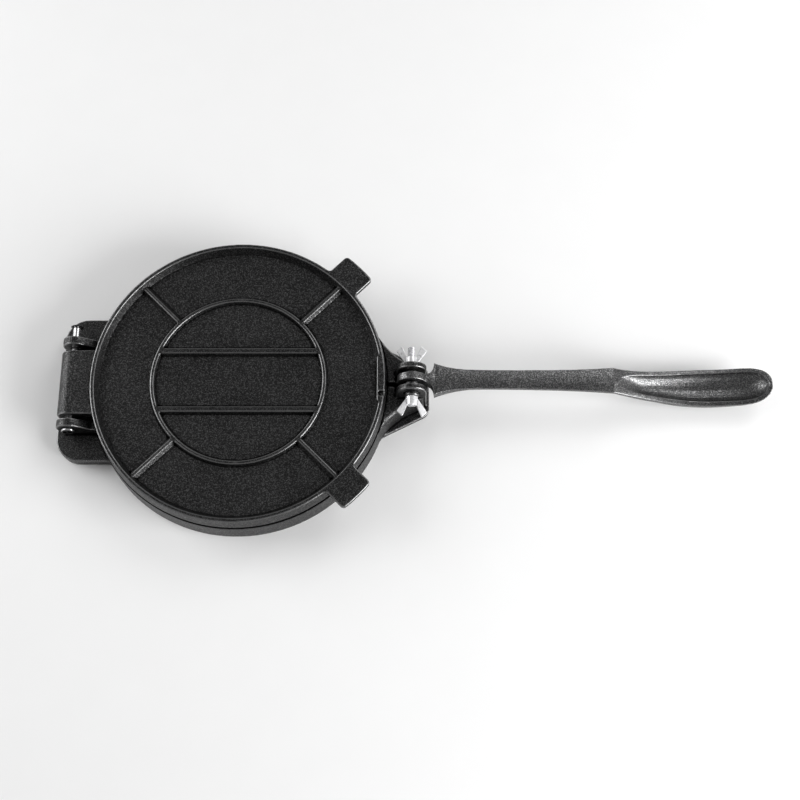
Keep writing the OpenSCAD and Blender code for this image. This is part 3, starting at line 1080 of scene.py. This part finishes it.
    def build(self) -> None:
        """Makes the pin and its clip."""
        self.pin()
        self.clip()


@dataclass(frozen=True)
class Lamp:
    """One square soft light.

    Attributes:
        name: its name.
        at: its place, in metres.
        size: its side, in metres.
        power: its power in watts.
    """

    name: str
    at: Point
    size: float
    power: float


@dataclass
class Studio:
    """A pale table, soft lights and the camera.

    Attributes:
        camera_at: place of the camera, in metres.
        camera_tilt: how far it looks ahead of straight down, in degrees.
        lens: its focal length in millimetres.
        near: the nearest that it sees, in metres.
        table_top: the table's finish.
        table_half: half the table's side, in metres.
        sky_rise: heights on the unit sphere between which the room's light changes.
        sky_light: its strength below that and above it.
        aim: the point that the lamps are turned to.
        lamps: the lamps.
    """

    camera_at: Point = (0.1376, -0.3660, 1.0510)
    camera_tilt: float = 18.92
    lens: float = 57.12
    near: float = 0.05
    table_top: TableTop = TableTop()
    table_half: float = 7.0
    sky_rise: tuple[float, float] = (0.0, 0.8)
    sky_light: tuple[float, float] = (0.4, 0.24)
    aim: Point = (0.12, 0.0, 0.02)
    lamps: list[Lamp] = field(
        default_factory=lambda: [
            Lamp("key", (1.68, -0.76, 0.6), size=1.25, power=55.0),
            Lamp("rear", (0.95, 0.95, 1.1), size=0.8, power=6.0),
            Lamp("left", (-1.3, 0.4, 0.68), size=1.1, power=16.0),
        ]
    )

    def camera(self) -> None:
        """Places the camera."""
        data = bpy.data.cameras.new("camera")
        data.lens = self.lens
        data.clip_start = self.near
        obj = bpy.data.objects.new("camera", data)
        obj.location = self.camera_at
        obj.rotation_euler = (math.radians(self.camera_tilt), 0.0, 0.0)
        bpy.context.scene.collection.objects.link(obj)
        bpy.context.scene.camera = obj

    def hang(self, lamp: Lamp) -> None:
        """Hangs one lamp and turns it to the press.

        Args:
            lamp: the lamp.
        """
        data = bpy.data.lights.new(lamp.name, "AREA")
        data.size = lamp.size
        data.energy = lamp.power
        obj = bpy.data.objects.new(lamp.name, data)
        obj.location = lamp.at
        beam = Vector(self.aim) - Vector(lamp.at)
        obj.rotation_euler = beam.to_track_quat("-Z", "Y").to_euler()
        bpy.context.scene.collection.objects.link(obj)

    def floor(self) -> None:
        """Lays the pale table."""
        finish = self.table_top.material()
        half = self.table_half
        points = [(-half, -half, 0), (half, -half, 0), (half, half, 0), (-half, half, 0)]
        mesh = bpy.data.meshes.new("table")
        mesh.from_pydata(points, [], [(0, 1, 2, 3)])
        shown("table", mesh, finish)

    def world(self) -> None:
        """Fills the room with light that is bright near the horizon and dim overhead."""
        s = Shader(bpy.data.worlds.new("room"))
        direction = s.add("ShaderNodeTexCoord", {}, {}, "Generated")
        height = s.add("ShaderNodeSeparateXYZ", {}, {0: direction}, "Z")
        limits = ("From Min", "From Max", "To Min", "To Max")
        values = {"Value": height, **dict(zip(limits, self.sky_rise + self.sky_light))}
        strength = s.add("ShaderNodeMapRange", {}, values, "Result")
        white = {"Color": (1.0, 1.0, 1.0, 1.0), "Strength": strength}
        bpy.context.scene.world = s.end(s.add("ShaderNodeBackground", {}, white))

    def build(self) -> None:
        """Sets the whole stage, and keeps the colours as the lights make them."""
        self.camera()
        self.floor()
        self.world()
        for lamp in self.lamps:
            self.hang(lamp)
        bpy.context.scene.view_settings.view_transform = "Standard"


def main() -> None:
    """Builds the press and its stage."""
    logging.basicConfig(level=logging.INFO, format="%(message)s")
    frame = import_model()
    Studio().build()
    # worn is the edge colour of the iron: partly rubbed wear, partly a painted highlight.
    dark, bright, worn = (0.011, 0.011, 0.011), (0.15, 0.15, 0.151), (0.2, 0.2, 0.201)
    iron = SeasonedIron("base_iron", dark, bright, worn, roughness=0.34, grain=0.2)
    plate = SeasonedIron("plate_iron", dark, bright, worn, roughness=0.36, grain=0.22)
    lever = SeasonedIron(
        "lever_iron",
        shade=(0.05, 0.05, 0.051),
        light=(0.34, 0.34, 0.341),
        worn=(0.28, 0.28, 0.281),
        roughness=0.27,
        grain=0.3,
    )
    zinc = ZincPlate("nut_zinc", (0.56, 0.56, 0.57), (0.88, 0.88, 0.89), roughness=0.3)
    stud = ZincPlate("stud_zinc", (0.5, 0.5, 0.52), (0.8, 0.8, 0.82), roughness=0.26)
    steel = DrawnSteel("pin_steel", (0.55, 0.55, 0.56), (0.78, 0.78, 0.79), roughness=0.26)
    oxide = BlackOxide("clip_steel", (0.012, 0.012, 0.013), (0.25, 0.25, 0.26))
    seam = Seam()
    flank = Worn(low=(116.0, -64.0, 7.0), high=(152.0, -21.0, 40.0), clear_of=128.0)
    castings = [
        Casting(
            "base", "press_base", "base_iron", iron, voxel=0.65, passes=4, seam=seam, worn=flank
        ),
        Casting("top_plate", "press_plate", "plate_iron", plate, voxel=0.6, passes=2, seam=seam),
        Casting("lever_handle", "lever", "lever_iron", lever, voxel=0.5, passes=4),
        WingNut("wing_nut_far", "far_nut", "nut_zinc", zinc),
        WingNut("wing_nut_near", "near_nut", "nut_zinc", zinc),
    ]
    for casting in castings:
        casting.build(frame)
    Stud(stud).build()
    HingeSet(steel, oxide).build()


if __name__ == "__main__":
    main()
